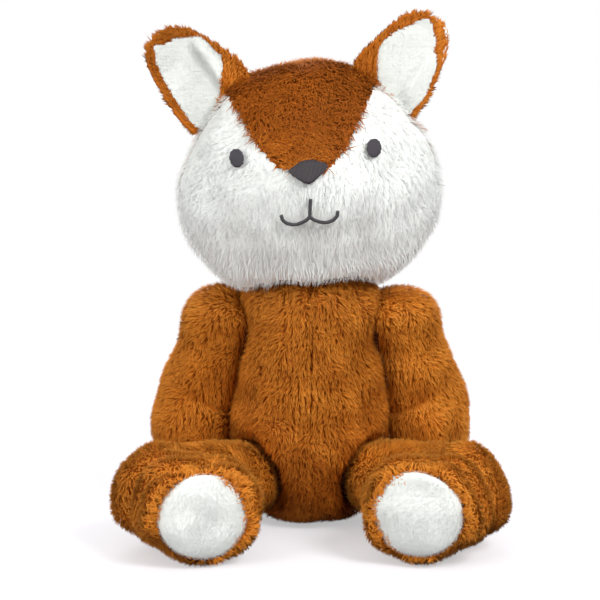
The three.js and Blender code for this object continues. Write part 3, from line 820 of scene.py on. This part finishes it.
# Ears: each is a back leaf of rust-brown plush and a lining of short white plush, sewn together round the
# edge and cupped forwards. The brown pile stands past the edge as a fringe, and a soft fold runs down each
# lining. The edge of a lining is given by points in mm, across and up.
white_short = pile_finish(
    "white_short_plush",
    ((0.0, paint(228, 231, 226)), (0.4, paint(232, 235, 230)), (1.0, paint(238, 241, 236))),
    ((0.0, paint(234, 237, 232)), (0.4, paint(239, 242, 237)), (1.0, paint(245, 248, 243))),
    0.8,
    0.98,
)
ear_shapes = {
    "left": {
        "way": 1, "root": (0.044345, -0.0015, 0.2593), "widened": 0.14, "shortened": 0.02,
        "fold": ((0.0655, 0.282), (0.0535, 0.262)), "lip": (0.0014, 0.005, 0.004),
        "edge": (
            (80, 293.5), (78.5, 299.5), (72.5, 302), (66, 301), (58.5, 298), (50.5, 294.5), (45, 290.5),
            (40.5, 286), (38.5, 280), (39.5, 274), (39, 268), (42, 261), (50.5, 253), (57, 243), (62, 241),
            (66.5, 249.5), (72.5, 266), (77.5, 281),
        ),
    },
    "right": {
        "way": -1, "root": (-0.055387, -0.0015, 0.252), "widened": 0.22, "shortened": -0.03,
        "fold": ((-0.0708, 0.284), (-0.0534, 0.259)), "lip": (0.0032, 0.0052, 0.0034),
        "edge": (
            (-92, 286), (-91.5, 292), (-85.5, 296), (-77.5, 296.5), (-69, 295), (-61.5, 291.5), (-56, 286),
            (-53, 281), (-52.5, 275), (-52.5, 269), (-53, 262), (-54, 255), (-56, 248), (-60, 241),
            (-67, 237), (-74, 240), (-76.5, 247.5), (-81, 256), (-86.5, 267), (-91, 277),
        ),
    },
}
ear_room, leaf_least = 0.0012, 0.0008
for name, ear in ear_shapes.items():
    way = ear["way"]
    back_node, lining_node = f"ear_back_{name}", f"ear_lining_{name}"
    low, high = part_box(back_node)
    root_place = np.array(ear["root"])
    tip_place = np.array([high.x if way > 0 else low.x, -0.001, high.z])
    ear_form = stuffed(
        f"ear_form_{name}", [back_node, lining_node], 0.0014, lambda points: np.full(len(points), ear_room),
        [(tree_of(*head_nodes), 0.0002, clear)], swells=False,
    )
    axis = unit((tip_place - root_place) * np.array([1, 0, 1]))
    inward = way * np.array([-axis[2], 0, axis[0]])
    points = points_of(ear_form.data) - root_place
    along, aside = points @ axis, points @ inward
    wider = ear["widened"] * np.maximum(aside, 0) * ease(-0.01, 0.008, along)
    points += wider[:, None] * inward - ear["shortened"] * np.maximum(along, 0)[:, None] * axis
    move_points(ear_form.data, points + root_place)

    def ear_folds(points, normals):
        x, y, z = points.T
        facing = ease(0.0, -0.5, normals[:, 1])
        start, end = np.array(ear["fold"])
        down = unit(end - start)
        flat = np.stack([x, z], 1) - start
        run, off = flat @ down, flat @ np.array([-down[1], down[0]])
        inside = ease(-0.006, 0.004, run) * ease(0.036, 0.024, run)
        high, place, width = ear["lip"]
        lip = high * ridge(off, place, width)
        valley = -0.0005 * ridge(off, 0.0, 0.0018)
        return facing * inside * (lip + valley) + 0.0003 * lumps(points, 0.012, 60 + way)

    sculpt(ear_form, ear_folds)
    edge = np.array(ear["edge"]) / 1000
    heart = edge.mean(0)
    bearings = np.linspace(-math.pi, math.pi, 73)[:-1]
    edge_bearings, edge_reaches = np.arctan2(*(edge - heart).T[::-1]), np.linalg.norm(edge - heart, axis=1)
    reaches = np.interp(bearings, edge_bearings, edge_reaches, period=2 * math.pi)
    reaches = sum(np.roll(reaches, k) * (3 - abs(k)) for k in (-2, -1, 0, 1, 2)) / 9
    shape = shape_of(ear_form.data)
    ear_skin = BVHTree.FromBMesh(shape)
    shape.free()

    def ear_owner(point):
        x, z = point[0], point[2]
        bearing = math.atan2(z - heart[1], x - heart[0])
        if math.hypot(x - heart[0], z - heart[1]) > np.interp(bearing, bearings, reaches, period=2 * math.pi):
            return back_node
        ahead = ear_skin.ray_cast(Vector((x, -0.2, z)), Vector((0, 1, 0)))[0]
        behind = ear_skin.ray_cast(Vector((x, 0.2, z)), Vector((0, -1, 0)))[0]
        facing = ahead is not None and behind is not None and point[1] < (ahead.y + behind.y) / 2
        facing = facing and behind.y - ahead.y > leaf_least
        return lining_node if facing else back_node

    def ear_comb(root, normal):
        outward = unit(root - root_place)
        return outward + unit(tip_place - root_place) * 0.6

    def ear_turn(root, normal):
        return normal + 0.9 * unit(root - root_place) + np.array([0, -0.3, 0])

    back = pile(
        f"ear_back_{name}_pile", ear_form, ear_owner, back_node, ear_comb, rust,
        density=1.9, length=0.0043, width=0.0007, wild=0.3, gloss=1.2, thin=0.0004,
        turned=ear_turn, seed=62 + way,
    )
    settle(back, "rust_pile", 0.3, back_node)
    # The linings are a little darker overall, and the left one also carries painted shade that makes it
    # darker than the right.
    lining = pile(
        f"ear_lining_{name}_pile", ear_form, ear_owner, lining_node, ear_comb, white_short,
        density=2.6, length=0.0024, width=0.00042, tuft=0.15, wild=0.5, gloss=0.1, thin=0.0004,
        shade=lambda root, normal: np.full(len(root), -0.15 - 0.2 * way), seed=66 + way,
    )
    settle(lining, "short_white_plush", 0.3, lining_node)
    bpy.data.objects.remove(ear_form)


# Arms: one tube of rust-brown plush each, closed round the paw, stuffed and sewn to the body at the shoulder.
# The pile runs down to the paw, and a soft crease crosses the inside of the elbow.
for way, name in ((1, "left"), (-1, "right")):
    cover_node, filling_node = f"arm_cover_{name}", f"arm_filling_{name}"
    shoulder, paw = np.array([way * 0.053, 0.0005, 0.119]), np.array([way * 0.073, 0, 0.045])
    down = unit(paw - shoulder)
    arm_sides = tree_of(*body_panels, f"leg_cover_{name}", *head_nodes)
    arm_form = stuffed(
        f"arm_form_{name}", [cover_node, filling_node], 0.004, even_room, [(arm_sides, touching, clear)]
    )

    def arm_folds(points, normals):
        run = (points - shoulder) @ down
        out = (points[:, 0] - shoulder[0]) * way
        bend = run + 0.35 * out + 0.003 * np.sin(points[:, 1] * 120)
        inner = ease(0.5, -0.3, normals[:, 0] * way)
        crease = -0.0022 * ridge(bend, 0.049, 0.003) * inner
        roll = 0.001 * ridge(bend, 0.058, 0.007) * inner
        upwards = ease(-0.1, 0.5, normals[:, 2] + 0.3 * np.abs(normals[:, 0]))
        swelling = 0.0052 * ridge(run, -0.004, 0.02) * upwards
        inward = 0.0022 * ease(-0.5, -0.9, normals[:, 0] * way) * ease(0.008, 0.02, run)
        return crease + roll + swelling + inward + 0.0009 * lumps(points, 0.016, 70 + way)

    sculpt(arm_form, arm_folds)

    def arm_comb(root, normal):
        return down + np.stack([way * 0.25 * np.ones(len(root)), np.zeros(len(root)), np.zeros(len(root))], 1)

    sleeve = pile(
        f"{cover_node}_pile", arm_form, lambda point: "arm", "arm", arm_comb, rust,
        **long_pile, shade=lambda root, normal: 0.38, beside=arm_sides, seed=72 + way,
    )
    settle(sleeve, "rust_pile", 0.8, cover_node)
    stuffing(f"arm_fibre_{name}", arm_form, filling_node)
    bpy.data.objects.remove(arm_form)


# Legs: a rust-brown plush cover each, with the foot turned a little inwards. Stuffing pushes the plush out
# into a thick roll round the white sole pad, and the ankle behind it gathers into two or three soft rolls.
foot_turn = math.radians(15)
rolls = ((0.0014, 0.002, 0.005), (0.0012, 0.019, 0.005), (0.001, 0.036, 0.006))
creases = ((-0.0026, 0.0105, 0.0032), (-0.0022, 0.0275, 0.0032))
for way, name in ((1, "left"), (-1, "right")):
    cover_node, filling_node, pad_node = f"leg_cover_{name}", f"leg_filling_{name}", f"foot_pad_{name}"
    low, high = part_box(pad_node)
    sole = np.array((low + high) / 2)
    ahead = np.array([-way * math.sin(foot_turn), -math.cos(foot_turn), 0])
    hip, knee = np.array([way * 0.041, -0.0285, 0.03]), np.array([way * 0.08, -0.0695, 0.03])
    pad_tree = tree_of(pad_node)
    leg_sides = tree_of(*body_panels, f"arm_cover_{name}")
    leg_form = stuffed(
        f"leg_form_{name}", [cover_node, filling_node], 0.0045, even_room,
        [(leg_sides, touching, clear), (pad_tree, 0.0004, clear)],
    )

    def leg_folds(points, normals):
        back = -(points - sole) @ ahead
        beside = (points - sole) @ np.cross(ahead, [0, 0, 1])
        angle = np.arctan2(points[:, 2] - sole[2], beside)
        radial = 1 - np.abs(normals @ ahead)
        top = ease(-0.6, 0.2, np.sin(angle)) * ease(0.1, 0.6, radial)
        wavy = back + 0.003 * np.sin(2 * angle + way) + 0.0015 * np.sin(5 * angle + 2)
        roll, crease = (
            sum(high * ridge(wavy, place, width) for high, place, width in row) for row in (rolls, creases)
        )
        lifted = ease(0.004, 0.02, points[:, 2])
        outer = 0.0078 * ease(0.2, 0.9, normals[:, 0] * way + 0.55 * normals[:, 2]) * ease(0.07, 0.04, back)
        outer *= ease(0.0, 0.02, -beside * way) * lifted
        inner = 0.0062 * ease(0.1, 0.75, -normals[:, 0] * way) * ease(0.042, 0.02, back)
        inner *= ease(0.0, 0.014, beside * way) * lifted
        return (roll + crease) * top + outer + inner + 0.0008 * lumps(points, 0.015, 80 + way)

    sculpt(leg_form, leg_folds)

    def leg_comb(root, normal):
        onward = ease(0.06, 0.045, -(root - sole) @ ahead)[:, None]
        return unit(knee - hip) * (1 - onward) + ahead * onward

    # Painted shade darkens the pile in the crease round the sole pad, and painted light makes the left leg,
    # nearer the key lamp, lighter than the right.
    def leg_painted_light_and_shade(root, normal):
        return -0.2 * ridge(distance_to(pad_tree, root, 0.01), 0, 0.003) + (0.7 if way > 0 else 0.54)

    cover = pile(
        f"{cover_node}_pile", leg_form, lambda point: "leg", "leg", leg_comb, rust,
        density=1.15, length=0.0056, width=0.0008, shade=leg_painted_light_and_shade,
        parted=(pad_tree, 0.007, 1.4), beside=leg_sides, seed=82 + way,
    )
    settle(cover, "rust_pile", 0.8, cover_node)
    stuffing(f"leg_fibre_{name}", leg_form, filling_node)
    bpy.data.objects.remove(leg_form)

    # Sole pad: a round of short white plush, sewn into the end of the foot.
    # The stuffing behind it pushes it out into a low dome.
    pad_wide, pad_tall, dome, pad_back, pad_room = 0.0257, 0.0243, 0.0062, 0.0022, 0.0009
    shape = bmesh.new()
    bmesh.ops.create_uvsphere(shape, u_segments=72, v_segments=36, radius=1)
    # Blender lists a new sphere's faces in a different order in each run.
    # The pile is drawn in that order, so the faces are sorted.
    shape.verts.index_update()
    shape.faces.sort(key=lambda face: sum(vert.index ** 3 for vert in face.verts))
    pad_form = as_object(f"pad_form_{name}", shape)
    ball = points_of(pad_form.data)
    girth = 1 + 0.012 * np.sin(3 * np.arctan2(ball[:, 1:2], ball[:, :1]) + way)
    wide, tall = pad_wide * np.cross([0, 0, 1], ahead), pad_tall * np.array([0, 0, 1])
    deep = np.where(ball[:, 2:] > 0, dome, pad_back) * ball[:, 2:]
    place = sole + girth * (ball[:, :1] * wide + ball[:, 1:2] * tall) + deep * ahead
    place += np.array([-0.0008, 0, 0.0022 if way > 0 else 0.0007])
    move_points(pad_form.data, place + 0.0008 * lumps(place, 0.013, 90 + way)[:, None] * ahead)
    shade_smooth(pad_form.data)
    pad_form["pile"] = np.full(len(ball), pad_room).tolist()

    def pad_comb(root, normal):
        return np.broadcast_to([way * -0.2, 0, -1.0], root.shape)

    pad = pile(
        f"{pad_node}_pile", pad_form, lambda point: "pad", "pad", pad_comb, white_short,
        density=1.6, length=0.0024, width=0.00036, tuft=0.1, wild=0.8, gloss=0.15,
        shade=lambda root, normal: np.full(len(root), 0.45), seed=92 + way,
    )
    settle(pad, "short_white_plush", 0.7, pad_node)
    bpy.data.objects.remove(pad_form)


# Tail: a stuffed tube of rust-brown plush that lies behind the seat, with a white tip sewn to its end.
# The pile is the longest on the toy, runs towards the tip and bushes out round it.
tail_panels = {node: tree_of(node) for node in ("tail_cover", "tail_tip")}
tail_sides = tree_of(*body_panels)
tail_form = stuffed(
    "tail_form", [*tail_panels, "tail_filling"], 0.004, even_room, [(tail_sides, touching, clear)]
)


def tail_folds(points, normals):
    return 0.0008 * lumps(points, 0.015, 95) + 0.0035 * ridge(points[:, 1], 0.082, 0.026)


def tail_comb(root, normal):
    return np.broadcast_to([0, 1.0, -0.15], root.shape)


sculpt(tail_form, tail_folds)
tail_looks = (("tail_cover", rust, 0.0008, "rust_pile"), ("tail_tip", white, 0.00055, "white_pile"))
for number, (node, finish, width, slot) in enumerate(tail_looks):
    cover = pile(
        node + "_pile", tail_form, lambda point: nearest_panel(tail_panels, point), node, tail_comb, finish,
        density=1.2, length=0.0085, width=width, wild=0.35, beside=tail_sides,
        longer=lambda root, normal: 1 + 0.5 * ease(0.105, 0.122, root[:, 1]), seed=96 + number,
    )
    settle(cover, slot, 0.8, node)
stuffing("tail_fibre", tail_form, "tail_filling")
for form in (body_form, head_form, tail_form):
    bpy.data.objects.remove(form)


# Seams: the neck, the shoulders and the hips are each sewn shut with a ring of ladder stitches in strong
# brown thread over a folded seam allowance. The pile hides nearly all of them.
# The seam allowance is painted the dark brown of the pile in shade, so that where it shows it reads as
# painted shadow in the fold.
seam_cloth_in_painted_shadow = woven_finish("seam_allowance_painted_shadow", paint(104, 50, 14), paint(76, 34, 8), 0.0005)
seam_thread = thread_finish("seam_thread", paint(120, 66, 26), paint(84, 44, 16), 0.0004)
stitch_count, stitch_radius, flattened = 64, 0.00022, 0.85
for node in ("neck_seam", "shoulder_seam_left", "shoulder_seam_right", "hip_seam_left", "hip_seam_right"):
    band = as_object(node + "_stitched", cad_shape(node))
    points = points_of(band.data)
    snug = 0.84 if "shoulder" in node else 0.78
    middle = points.mean(0)
    offset = points - middle
    axes = np.linalg.eigh(np.cov(offset.T))[1]
    axis, first, second = axes[:, 0], axes[:, 1], axes[:, 2]
    height = offset @ axis
    rise = height[:, None] * axis
    radius = np.linalg.norm(offset - rise, axis=1)
    move_points(band.data, middle + (offset - rise) * snug + rise * flattened)
    turn = np.arange(stitch_count + 1)
    angle = turn / stitch_count * 2 * math.pi
    climb = np.where(turn % 2, 1, -1) * (height.max() - height.min()) * 0.3
    ring = radius.max() * snug * (np.cos(angle)[:, None] * first + np.sin(angle)[:, None] * second)
    stitch = threads(node + "_thread", [middle + ring + climb[:, None] * axis], stitch_radius)
    wear(band, seam_cloth_in_painted_shadow)
    wear(stitch, seam_thread)
    settle(band, "seam", None, node)
    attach(stitch, homes[node])


# Setting: a white floor that keeps a soft shadow, an even white room light, and a large soft lamp from the
# upper right of the camera with weaker ones from the left and from behind.
def span_to(nodes, links, value, **ends):
    node = nodes.new("ShaderNodeMapRange")
    for key, end in ends.items():
        node.inputs[key.replace("_", " ")].default_value = end
    links.new(value, node.inputs["Value"])
    return node.outputs["Result"]


floor_back = 4
ground = bmesh.new()
bmesh.ops.create_grid(ground, x_segments=2, y_segments=2, size=9)
floor = as_object("floor", ground)
floor.location = (0, floor_back, 0)
paper = bpy.data.materials.new("white_floor")
paper.use_nodes = True
nodes, links = paper.node_tree.nodes, paper.node_tree.links
nodes.remove(nodes["Principled BSDF"])
matt = nodes.new("ShaderNodeBsdfDiffuse")
matt.inputs["Color"].default_value = (0.86, 0.85, 0.9, 1)
glow = nodes.new("ShaderNodeEmission")
rays = nodes.new("ShaderNodeLightPath")
links.new(rays.outputs["Is Camera Ray"], glow.inputs["Strength"])
place = nodes.new("ShaderNodeTexCoord")
span = nodes.new("ShaderNodeVectorMath")
span.operation = "DISTANCE"
span.inputs[1].default_value = (0, -floor_back, 0)
links.new(place.outputs["Object"], span.inputs[0])
faded = span_to(nodes, links, span.outputs["Value"], From_Min=0.15, From_Max=0.6, To_Min=0.45, To_Max=1.0)
mixed = nodes.new("ShaderNodeMixShader")
links.new(faded, mixed.inputs["Fac"])
links.new(matt.outputs["BSDF"], mixed.inputs[1])
links.new(glow.outputs["Emission"], mixed.inputs[2])
links.new(mixed.outputs["Shader"], nodes["Material Output"].inputs["Surface"])
floor.data.materials.append(paper)

room = bpy.data.worlds.new("room")
scene.world = room
room.use_nodes = True
nodes, links = room.node_tree.nodes, room.node_tree.links
air = nodes["Background"]
air.inputs["Color"].default_value = (1, 1, 1, 1)
rays = nodes.new("ShaderNodeLightPath")
level = span_to(nodes, links, rays.outputs["Is Camera Ray"], To_Min=0.86, To_Max=1.0)
links.new(level, air.inputs["Strength"])


def lamp(name, place, aim, size, power):
    light = bpy.data.lights.new(name, "AREA")
    light.shape = "DISK"
    light.size = size
    light.energy = power
    held = linked(name, light)
    held.location = place
    held.rotation_euler = (Vector(aim) - Vector(place)).to_track_quat("-Z", "Y").to_euler()


lamp("key_lamp", (0.9, -1.1, 1.25), (0, 0, 0.12), 0.7, 25)
lamp("fill_lamp", (-1.2, -1.0, 0.7), (0, 0, 0.14), 0.9, 11)
lamp("back_lamp", (-0.4, 1.3, 1.2), (0, 0, 0.16), 1.2, 12)

camera_rise, camera_away, camera_angle = math.radians(11), 1.5, math.radians(13.7)
aim = Vector((-0.0066, 0, 0.133))
lens = bpy.data.cameras.new("camera")
camera = linked("camera", lens)
camera.location = aim + camera_away * Vector((0, -math.cos(camera_rise), math.sin(camera_rise)))
camera.rotation_euler = (aim - camera.location).to_track_quat("-Z", "Y").to_euler()
lens.sensor_width = 36
lens.lens = lens.sensor_width / 2 / math.tan(camera_angle / 2)
scene.camera = camera
scene.view_settings.view_transform = "Standard"
